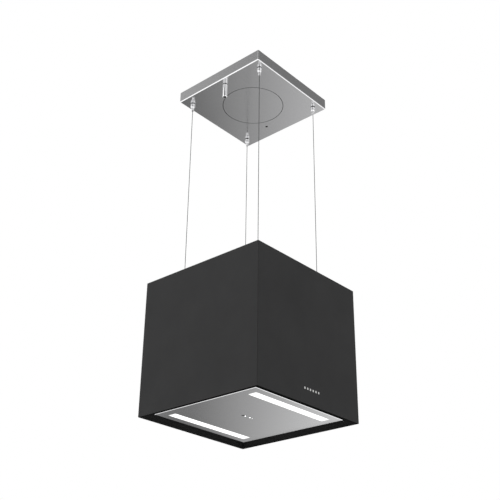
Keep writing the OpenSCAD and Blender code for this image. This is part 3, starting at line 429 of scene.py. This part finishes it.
def lit_opal(name, colour, strength, ends=None, mirrored=True):
    """Opal plastic lit from behind, weaker towards both ends along X, or only towards the right one."""
    material, tree, surface, place = start_material(name, Roughness=0.35)
    skin = use(tree, FINE_TEXTURE, Vector=place, Scale=900.0)
    tone = spread(tree, skin.outputs["Mottle"], 0.3, 0.7, 0.985, 1.0)
    if ends:
        across = add(tree, "ShaderNodeSeparateXYZ", {0: place}).outputs["X"]
        if mirrored:
            across = calc(tree, "ABSOLUTE", across)
        tone = calc(tree, "MULTIPLY", tone, spread(tree, across, *ends, 1.0, 0.3))
    shade = add(tree, "ShaderNodeVectorMath", {0: colour, "Scale": tone}, operation="SCALE")
    tree.links.new(shade.outputs[0], surface.inputs["Base Color"])
    tree.links.new(shade.outputs[0], surface.inputs["Emission Color"])
    surface.inputs["Emission Strength"].default_value = strength
    raise_surface(tree, surface, skin.outputs["Height"], 0.00001)
    return material


PAINT = dict(
    colour=(0.046, 0.046, 0.0465), roughness=0.5, worn=(0.06, 0.06, 0.061), dusty=0.1, under=True,
    Specular_IOR_Level=0.05)
STEEL = dict(colour=(0.5, 0.5, 0.505), roughness=0.17, relief=0.000004)
FOLD_RADIUS = 3 * MM
CONTACT_SHADE_HEIGHT = 1.2 * MM

light_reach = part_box("light_diffusers")[1][0]
canopy_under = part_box("canopy")[0][2]

FINISHES = {
    "brushed_steel": brushed_steel("brushed steel", **STEEL),
    "galvanised": galvanised_sheet("galvanised sheet", (0.6, 0.62, 0.64), dusty=0.12),
    "black_paint": coated("satin black powder paint", **PAINT),
    # The chrome gets a ring of painted shade just under the canopy's underside.
    "chrome": bright_metal(
        "polished chrome", (0.92, 0.92, 0.93), 0.08,
        contact_shade=(canopy_under - CONTACT_SHADE_HEIGHT, canopy_under)),
    "wire_steel": bright_metal("stranded wire steel", (0.14, 0.14, 0.145), 0.35),
    "spring_steel": bright_metal("drawn spring steel", (0.7, 0.7, 0.72), 0.24),
    "motor_steel": coated(
        "silver motor paint", (0.5, 0.51, 0.53), 0.4, worn=(0.7, 0.7, 0.72), dusty=0.25,
        Metallic=0.6),
    "dark_screw": coated("blackened screw", (0.03, 0.03, 0.033), 0.38, worn=(0.2, 0.2, 0.2)),
    "black_plastic": coated(
        "textured black plastic", (0.035, 0.035, 0.038), 0.5, texture=1100.0, dusty=0.2),
    "white_plastic": coated("smooth white plastic", (0.8, 0.8, 0.78), 0.38, dusty=0.25),
    "rubber": coated("matt rubber", (0.03, 0.03, 0.03), 0.75),
    "charcoal": coated(
        "charcoal cassette", (0.025, 0.025, 0.025), 0.8, texture=420.0, relief=0.0004),
    "magnet": coated("dark ceramic magnet", (0.1, 0.1, 0.11), 0.5, Metallic=0.3),
    "circuit_board": coated("green solder mask", (0.04, 0.17, 0.09), 0.35),
    "circuit_board_white": coated("white solder mask", (0.82, 0.82, 0.8), 0.35),
    "filter_aluminium": brushed_steel("filter aluminium", (0.72, 0.73, 0.74), 0.38, strokes=700.0),
    "light_aluminium": brushed_steel(
        "light housing aluminium", (0.68, 0.68, 0.69), 0.4, strokes=700.0),
    "opal": lit_opal(
        "opal diffuser", (1.0, 1.0, 0.99), 0.9, ends=(light_reach - 12 * MM, light_reach)),
    "dark_window": coated("dark receiver window", (0.015, 0.015, 0.018), 0.12),
}

casing_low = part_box("front_panel")[0]
panel_low, panel_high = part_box("bottom_panel")
canopy_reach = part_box("canopy")[1][0]
status_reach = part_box("indicator_windows")[1][0]
disc_middle, disc_reach = middle("cover_disc")
screw_middle, screw_reach = middle("canopy_screw")
eye_middle, eye_reach = middle("receiver_window")

# Canopy steel: a painted highlight along its folded edge, painted shade in the groove round the cover disc,
# and a near-black disc round the screw.
CANOPY_STEEL = brushed_steel(
    "brushed canopy steel", **STEEL, folds=(canopy_reach, canopy_under, FOLD_RADIUS), rings=[
        (disc_middle, disc_reach - 0.4 * MM, disc_reach + 1.5 * MM),
        (screw_middle, 0.0, screw_reach + 1.9 * MM),
    ])
OWN_FINISHES = {
    "canopy": CANOPY_STEEL,
    "cover_disc": CANOPY_STEEL,
    # Panel steel: a painted highlight along its folded edge, a band of painted shade at its edge for the
    # gap to the casing, and a near-black disc round the receiver eye.
    "bottom_panel": brushed_steel(
        "brushed panel steel", **STEEL, rings=[(eye_middle, 0.0, eye_reach + 3.2 * MM)],
        folds=(panel_high[0], panel_low[2], FOLD_RADIUS), rim=0.9 * MM),
    "receiver_window": coated(
        "black receiver window", (0.002, 0.002, 0.002), 0.4, Specular_IOR_Level=0.0),
    "canopy_screw": coated(
        "black oxide screw", (0.002, 0.002, 0.002), 0.8, Specular_IOR_Level=0.0),
    "front_panel": coated("satin black paint with a row of bars", **PAINT, bars=dict(
        first=-26 * MM, pitch=12.3 * MM, count=6, size=(5.5 * MM, 6 * MM),
        height=casing_low[2] + 44 * MM, front=casing_low[1])),
    "indicator_windows": lit_opal(
        "lit status window", (1.0, 1.0, 1.0), 4.0,
        ends=(status_reach - 5 * MM, status_reach - 4.5 * MM), mirrored=False),
}

for part in frame["record"]["subparts"]:
    for place in frame["nodes"][part["node"]].material_slots:
        place.material = OWN_FINISHES.get(part["node"], FINISHES[part["material_slot"]])


# ---------------------------------------------------------------- modelling helpers

def deselect():
    """Goes to object mode, with nothing selected."""
    if bpy.context.object and bpy.context.object.mode != "OBJECT":
        bpy.ops.object.mode_set(mode="OBJECT")
    bpy.ops.object.select_all(action="DESELECT")


def name_piece(name):
    """Names the active object and its mesh."""
    piece = bpy.context.object
    piece.name = name
    piece.data.name = name
    return piece


def settle(piece):
    """Puts the piece's place into its mesh, so the object sits at the origin."""
    deselect()
    piece.select_set(True)
    bpy.context.view_layer.objects.active = piece
    bpy.ops.object.transform_apply(location=True, rotation=True, scale=True)


def copy_of(pattern, name):
    """A copy of the piece, named, selected and active."""
    deselect()
    pattern.select_set(True)
    bpy.context.view_layer.objects.active = pattern
    bpy.ops.object.duplicate()
    return name_piece(name)


def make_helix(name, radius, wire, vertices, low, turns, rise, steps):
    """An upright circle of the wire's radius, screwed up the Z axis at a radius, with open ends."""
    deselect()
    bpy.ops.mesh.primitive_circle_add(
        vertices=vertices, radius=wire, location=(radius, 0, low),
        rotation=(math.radians(90), 0, 0))
    helix = name_piece(name)
    settle(helix)
    screw = helix.modifiers.new("screw", "SCREW")
    screw.angle = turns * 2 * math.pi
    screw.screw_offset = rise
    screw.steps = screw.render_steps = steps
    screw.axis = "Z"
    screw.use_smooth_shade = True
    screw.use_merge_vertices = False
    bpy.ops.object.modifier_apply(modifier=screw.name)
    return helix


def turn_faces_out():
    """Ends edit mode with every face of the active piece turned outward."""
    bpy.ops.mesh.select_all(action="SELECT")
    bpy.ops.mesh.normals_make_consistent(inside=False)
    bpy.ops.object.mode_set(mode="OBJECT")


def dress(piece, slot, body, node=None):
    """Gives the piece its finish and the body that it rides on, and hides the CAD node it stands for."""
    piece.data.materials.clear()
    piece.data.materials.append(FINISHES[slot])
    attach(piece, body)
    if node:
        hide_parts(node)


# ---------------------------------------------------------------- suspension wires

WIRE_RADIUS = 1.0 * MM
STRAND_RADIUS = WIRE_RADIUS / 3
LAY_LENGTH = 13 * MM
STEPS_PER_LAY = 10


def make_strand(length, low):
    """One strand: an upright circle screwed up the wire's axis, which leaves a flat ribbon, open ended."""
    turns = length / LAY_LENGTH
    strand = make_helix(
        "strand", 2 * STRAND_RADIUS, STRAND_RADIUS, 8, low, turns, length,
        int(turns * STEPS_PER_LAY))
    bpy.ops.object.mode_set(mode="EDIT")
    turn_faces_out()
    return strand


def make_wire_pattern(low, high):
    """One wire on the Z axis: a straight core with six twisted ribbons for strands round it."""
    length = high - low
    strands = [make_strand(length, low)]
    deselect()
    bpy.ops.mesh.primitive_cylinder_add(
        vertices=10, radius=STRAND_RADIUS, depth=length, location=(0, 0, (low + high) / 2))
    core = name_piece("wire_core")
    settle(core)
    for turn in range(1, 6):
        strand = copy_of(strands[0], f"strand_{turn}")
        strand.data.transform(Matrix.Rotation(turn * math.pi / 3, 4, "Z"))
        strands.append(strand)
    deselect()
    for part in [core, *strands]:
        part.select_set(True)
    bpy.context.view_layer.objects.active = core
    bpy.ops.object.join()
    return name_piece("wire_pattern")


def make_wires():
    """The four wires, which ride on the ceiling body. On the real hood they shorten as it goes up."""
    low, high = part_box("suspension_wires")
    pattern = make_wire_pattern(low[2], high[2])
    across, along = high[0] - WIRE_RADIUS, high[1] - WIRE_RADIUS
    spots = [(sx * across, sy * along) for sx in (-1, 1) for sy in (-1, 1)]
    for number, (x, y) in enumerate(spots, 1):
        wire = copy_of(pattern, f"wire_{number}")
        wire.data.transform(Matrix.Translation((x, y, 0)))
        dress(wire, "wire_steel", "ceiling", "suspension_wires")
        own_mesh(wire)
    bpy.data.objects.remove(pattern)


make_wires()


# ---------------------------------------------------------------- springs

COIL_TURNS = 4
STEPS_PER_COIL = 32


def make_coil(name, radius, wire, length):
    """A compression spring on Z from 0 to its length, with even turns and capped ends."""
    coil = make_helix(
        name, radius, wire, 12, wire, COIL_TURNS, length - 2 * wire, COIL_TURNS * STEPS_PER_COIL)
    bpy.ops.object.mode_set(mode="EDIT")
    bpy.ops.mesh.select_all(action="SELECT")
    bpy.ops.mesh.region_to_loop()
    bpy.ops.mesh.edge_face_add()
    turn_faces_out()
    return coil


def make_gripper_springs():
    """One spring on each gripper, pressed against its upper end by the nose below it."""
    wire = 0.35 * MM
    low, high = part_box("gripper_springs")
    length = high[2] - low[2]
    for number in (1, 2, 3, 4):
        (x, y), reach = middle(f"gripper_nose_{number}")
        coil = make_coil(f"gripper_spring_{number}", reach - 1.3 * MM, wire, length)
        coil.data.transform(Matrix.Translation((x, y, low[2])))
        dress(coil, "spring_steel", "ceiling", "gripper_springs")
        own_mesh(coil)


def make_latch_springs():
    """Two springs behind each filter latch, pressed against the pocket's rear wall."""
    wire, radius = 0.3 * MM, 1.6 * MM
    low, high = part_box("latch_springs")
    length = high[1] - low[1]
    height = (low[2] + high[2]) / 2
    lay_down = Matrix.Rotation(math.radians(90), 4, "X")
    for hand in ("left", "right"):
        (across, _), reach = middle(f"filter_latch_{hand}")
        for number, x in enumerate((across - reach / 2, across + reach / 2), 1):
            coil = make_coil(f"latch_spring_{hand}_{number}", radius, wire, length)
            coil.data.transform(Matrix.Translation((x, high[1], height)) @ lay_down)
            dress(coil, "spring_steel", "hood", "latch_springs")
            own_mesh(coil)


make_gripper_springs()
make_latch_springs()


# ---------------------------------------------------------------- fine filter mesh

def make_fine_mesh(hand):
    """The fine sheet between the two coarse ones of a grease filter, cut away at the latch pocket."""
    cell, strand, pocket = (6 * MM, 4 * MM), 0.5 * MM, (60 * MM, 28 * MM)
    low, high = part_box("filter_meshes")
    (x, _), _ = middle(f"filter_latch_{hand}")
    width, length = 2 * (high[0] - abs(x)), high[1] - low[1]
    deselect()
    bpy.ops.mesh.primitive_grid_add(
        x_subdivisions=round(width / cell[0]), y_subdivisions=round(length / cell[1]), size=1,
        location=(x, (low[1] + high[1]) / 2, (low[2] + high[2]) / 2))
    sheet = name_piece(f"fine_mesh_{hand}")
    sheet.scale = (width - 2 * strand, length - 2 * strand, 1)
    settle(sheet)
    bpy.ops.object.mode_set(mode="EDIT")
    bpy.ops.mesh.select_all(action="SELECT")
    bpy.ops.mesh.poke()
    bpy.ops.mesh.select_all(action="DESELECT")
    bpy.ops.object.mode_set(mode="OBJECT")
    corners = sheet.data.vertices
    for edge in sheet.data.edges:
        start, end = (corners[i].co for i in edge.vertices)
        edge.select = min(abs(start.x - end.x), abs(start.y - end.y)) < 0.1 * MM
    bpy.ops.object.mode_set(mode="EDIT")
    bpy.ops.mesh.select_mode(type="EDGE")
    bpy.ops.mesh.dissolve_edges()
    bpy.ops.mesh.select_mode(type="FACE")
    bpy.ops.mesh.select_all(action="DESELECT")
    bpy.ops.object.mode_set(mode="OBJECT")
    for face in sheet.data.polygons:
        face.select = abs(face.center.x - x) < pocket[0] / 2 and face.center.y < low[1] + pocket[1]
    bpy.ops.object.mode_set(mode="EDIT")
    bpy.ops.mesh.delete(type="FACE")
    bpy.ops.object.mode_set(mode="OBJECT")
    wires = sheet.modifiers.new("strands", "WIREFRAME")
    wires.thickness = strand
    bpy.ops.object.modifier_apply(modifier=wires.name)
    dress(sheet, "filter_aluminium", "hood")


make_fine_mesh("left")
make_fine_mesh("right")


# ---------------------------------------------------------------- room, lights and camera

FLOOR_Z = -2.7
FLOOR_CARD_Z = FLOOR_Z + 0.01
CARD_MIDDLE = Vector((0, 0, -0.7))
WHITE = (1, 1, 1, 1)


def distance_from(tree, place, spot):
    """The distance of the place from a fixed spot."""
    node = add(tree, "ShaderNodeVectorMath", {0: place, 1: spot}, operation="DISTANCE")
    return node.outputs["Value"]


def make_stage():
    """A pale floor that fades to white far away, and that can't be seen from below."""
    deselect()
    bpy.ops.mesh.primitive_plane_add(size=80, location=(0, 0, FLOOR_Z))
    floor = name_piece("floor")
    settle(floor)
    material, tree, surface, place = start_material("pale floor", Roughness=0.9)
    surface.inputs["Base Color"].default_value = (0.75, 0.75, 0.75, 1)
    surface.inputs["Specular IOR Level"].default_value = 0.0
    output = next(n for n in tree.nodes if n.type == "OUTPUT_MATERIAL")
    away = distance_from(tree, place, (0, 0, FLOOR_Z))
    looked = tree.nodes.new("ShaderNodeLightPath").outputs["Is Camera Ray"]
    fade = calc(tree, "MULTIPLY", spread(tree, away, 1.0, 7.0, 0.0, 1.0), looked)
    white = add(tree, "ShaderNodeEmission", {"Color": WHITE, "Strength": 1.0})
    top = add(tree, "ShaderNodeMixShader", {0: fade, 1: surface.outputs[0], 2: white.outputs[0]})
    clear = tree.nodes.new("ShaderNodeBsdfTransparent")
    under = tree.nodes.new("ShaderNodeNewGeometry").outputs["Backfacing"]
    seen = add(tree, "ShaderNodeMixShader", {0: under, 1: top.outputs[0], 2: clear.outputs[0]})
    tree.links.new(seen.outputs[0], output.inputs["Surface"])
    floor.data.materials.append(material)


def make_world():
    """White to look at, in reflections and through glass, and dimmer as a light."""
    world = bpy.data.worlds.new("studio")
    bpy.context.scene.world = world
    world.use_nodes = True
    tree = world.node_tree
    tree.nodes.clear()
    path = tree.nodes.new("ShaderNodeLightPath")
    looked = calc(tree, "ADD", path.outputs["Is Camera Ray"], path.outputs["Is Transmission Ray"])
    seen = calc(tree, "ADD", looked, path.outputs["Is Glossy Ray"], clamp=True)
    lit = add(tree, "ShaderNodeBackground", {"Color": WHITE, "Strength": 0.6})
    white = add(tree, "ShaderNodeBackground", {"Color": WHITE, "Strength": 1.0})
    both = add(tree, "ShaderNodeMixShader", {0: seen, 1: lit.outputs[0], 2: white.outputs[0]})
    output = tree.nodes.new("ShaderNodeOutputWorld")
    tree.links.new(both.outputs[0], output.inputs["Surface"])


def glow_card(card, tone_of):
    """Makes a piece of the stage glow softly, and lets nothing but reflections see it."""
    material = bpy.data.materials.new(card.name)
    material.use_nodes = True
    tree = material.node_tree
    tree.nodes.clear()
    tone = tone_of(tree, tree.nodes.new("ShaderNodeTexCoord").outputs["Object"])
    glow = add(tree, "ShaderNodeEmission", {"Color": WHITE, "Strength": tone})
    output = tree.nodes.new("ShaderNodeOutputMaterial")
    tree.links.new(glow.outputs[0], output.inputs["Surface"])
    card.data.materials.append(material)
    card.visible_camera = card.visible_diffuse = False
    card.visible_transmission = card.visible_shadow = False


def distance_along(tree, place, direction):
    """How far the place lies from the origin along a direction."""
    node = add(tree, "ShaderNodeVectorMath", {0: place, 1: direction}, operation="DOT_PRODUCT")
    return node.outputs["Value"]


def mix_values(tree, factor, first, second):
    """First where the factor is 0, second where it is 1."""
    return add(tree, "ShaderNodeMix", {0: factor, 2: first, 3: second}).outputs[0]


def pointing(azimuth, rise):
    """The unit vector at an azimuth and a rise, both in radians."""
    flat = math.cos(rise)
    return Vector((flat * math.cos(azimuth), flat * math.sin(azimuth), math.sin(rise)))


def make_card(name, azimuth, rise, distance, size, tones):
    """A grey card round the hood, whose tone changes evenly from one value to the other."""
    azimuth, rise = math.radians(azimuth), math.radians(rise)
    away = pointing(azimuth, rise)
    along = Vector((-math.sin(azimuth), math.cos(azimuth), 0))
    deselect()
    bpy.ops.mesh.primitive_plane_add(
        size=1, location=CARD_MIDDLE + distance * away,
        rotation=away.to_track_quat("Z", "Y").to_euler())
    card = name_piece(name)
    card.scale = (*size, 1)
    settle(card)
    glow_card(card, lambda tree, place: spread(
        tree, distance_along(tree, place, along), -size[0] / 2, size[0] / 2, *tones))


def make_floor_card():
    """The floor as reflections see it: bright, with a dark band beyond the hood and one before it.

    Beyond and before are as seen from the camera.
    """
    deselect()
    bpy.ops.mesh.primitive_plane_add(size=24, location=(0, 0, FLOOR_CARD_Z))
    card = name_piece("card_floor")
    settle(card)
    turn = math.radians(41.6)
    across = (math.sin(turn), -math.cos(turn), 0)
    ahead = (math.cos(turn), math.sin(turn), 0)

    def band(tree, side, shift, *ranges):
        """A tone that rises on both sides of a line."""
        off = calc(tree, "ABSOLUTE", calc(tree, "ADD", side, shift))
        return spread(tree, off, *ranges)

    def tone(tree, place):
        side = distance_along(tree, place, across)
        forward = distance_along(tree, place, ahead)
        reach = distance_from(tree, place, (0, 0, FLOOR_CARD_Z))
        far = band(tree, side, 0.6, 0.0, 1.8, 0.2, 1.2)
        beside = spread(tree, reach, 4.2, 5.0, 1.15, 0.65)
        near = band(tree, side, 0.3, 0.5, 1.6, 0.15, 2.0)
        near = calc(tree, "MULTIPLY", near, spread(tree, reach, 4.2, 5.0, 1.0, 0.4))
        nearer = mix_values(tree, spread(tree, forward, -1.9, -1.3, 0.0, 1.0), near, beside)
        return mix_values(tree, spread(tree, forward, 1.6, 2.4, 0.0, 1.0), nearer, far)

    glow_card(card, tone)


def make_lamp(name, place, aim, size, watts):
    """A soft rectangular lamp turned to its aim, which neither the camera nor reflections see."""
    lamp = bpy.data.lights.new(name, "AREA")
    lamp.shape = "RECTANGLE"
    lamp.size, lamp.size_y = size
    lamp.energy = watts
    holder = bpy.data.objects.new(name, lamp)
    bpy.context.scene.collection.objects.link(holder)
    holder.location = place
    holder.rotation_euler = (Vector(aim) - Vector(place)).to_track_quat("-Z", "Y").to_euler()
    holder.visible_camera = holder.visible_glossy = False


def make_camera():
    """The camera, off the hood's front left corner and below it, looking up."""
    spot = (-1.905, -1.688, -1.894)
    yaw, pitch, roll = math.radians(41.63), math.radians(27.09), math.radians(-0.735)
    forward = pointing(yaw, pitch)
    right = Vector((math.sin(yaw), -math.cos(yaw), 0))
    down = forward.cross(right)
    across = math.cos(roll) * right + math.sin(roll) * down
    along = -math.sin(roll) * right + math.cos(roll) * down
    lens = bpy.data.cameras.new("camera")
    lens.sensor_width = 36
    lens.lens = 65.43
    camera = bpy.data.objects.new("camera", lens)
    bpy.context.scene.collection.objects.link(camera)
    turn = Matrix((across, -along, -forward)).transposed().to_4x4()
    camera.matrix_world = Matrix.Translation(spot) @ turn
    bpy.context.scene.camera = camera


make_stage()
make_world()
make_floor_card()
make_card("card_behind", 212, 34, 6, (9.0, 5.0), (0.08, 0.08))
make_card("card_right", -36, 34, 6, (5.6, 6.0), (0.32, 0.32))
make_card("card_left", 129, 38, 6, (3.0, 4.0), (1.2, 0.3))
make_card("glint_left", 170, 38, 6, (1.8, 3.0), (1.6, 1.6))
make_card("glint_right", 278, 38, 6, (1.8, 3.0), (1.6, 1.6))
make_card("card_low", 142, -5, 5.5, (4.5, 2.9), (1.15, 1.15))
LAMP_AIM = (0, 0, -0.8)
LAMP_SIZE = (2.2, 2.2)
make_lamp("key", (-2.6, -0.4, 1.4), LAMP_AIM, LAMP_SIZE, 42)
make_lamp("fill", (2.4, -1.6, 1.0), LAMP_AIM, LAMP_SIZE, 23)
make_camera()
bpy.context.scene.view_settings.view_transform = "Standard"
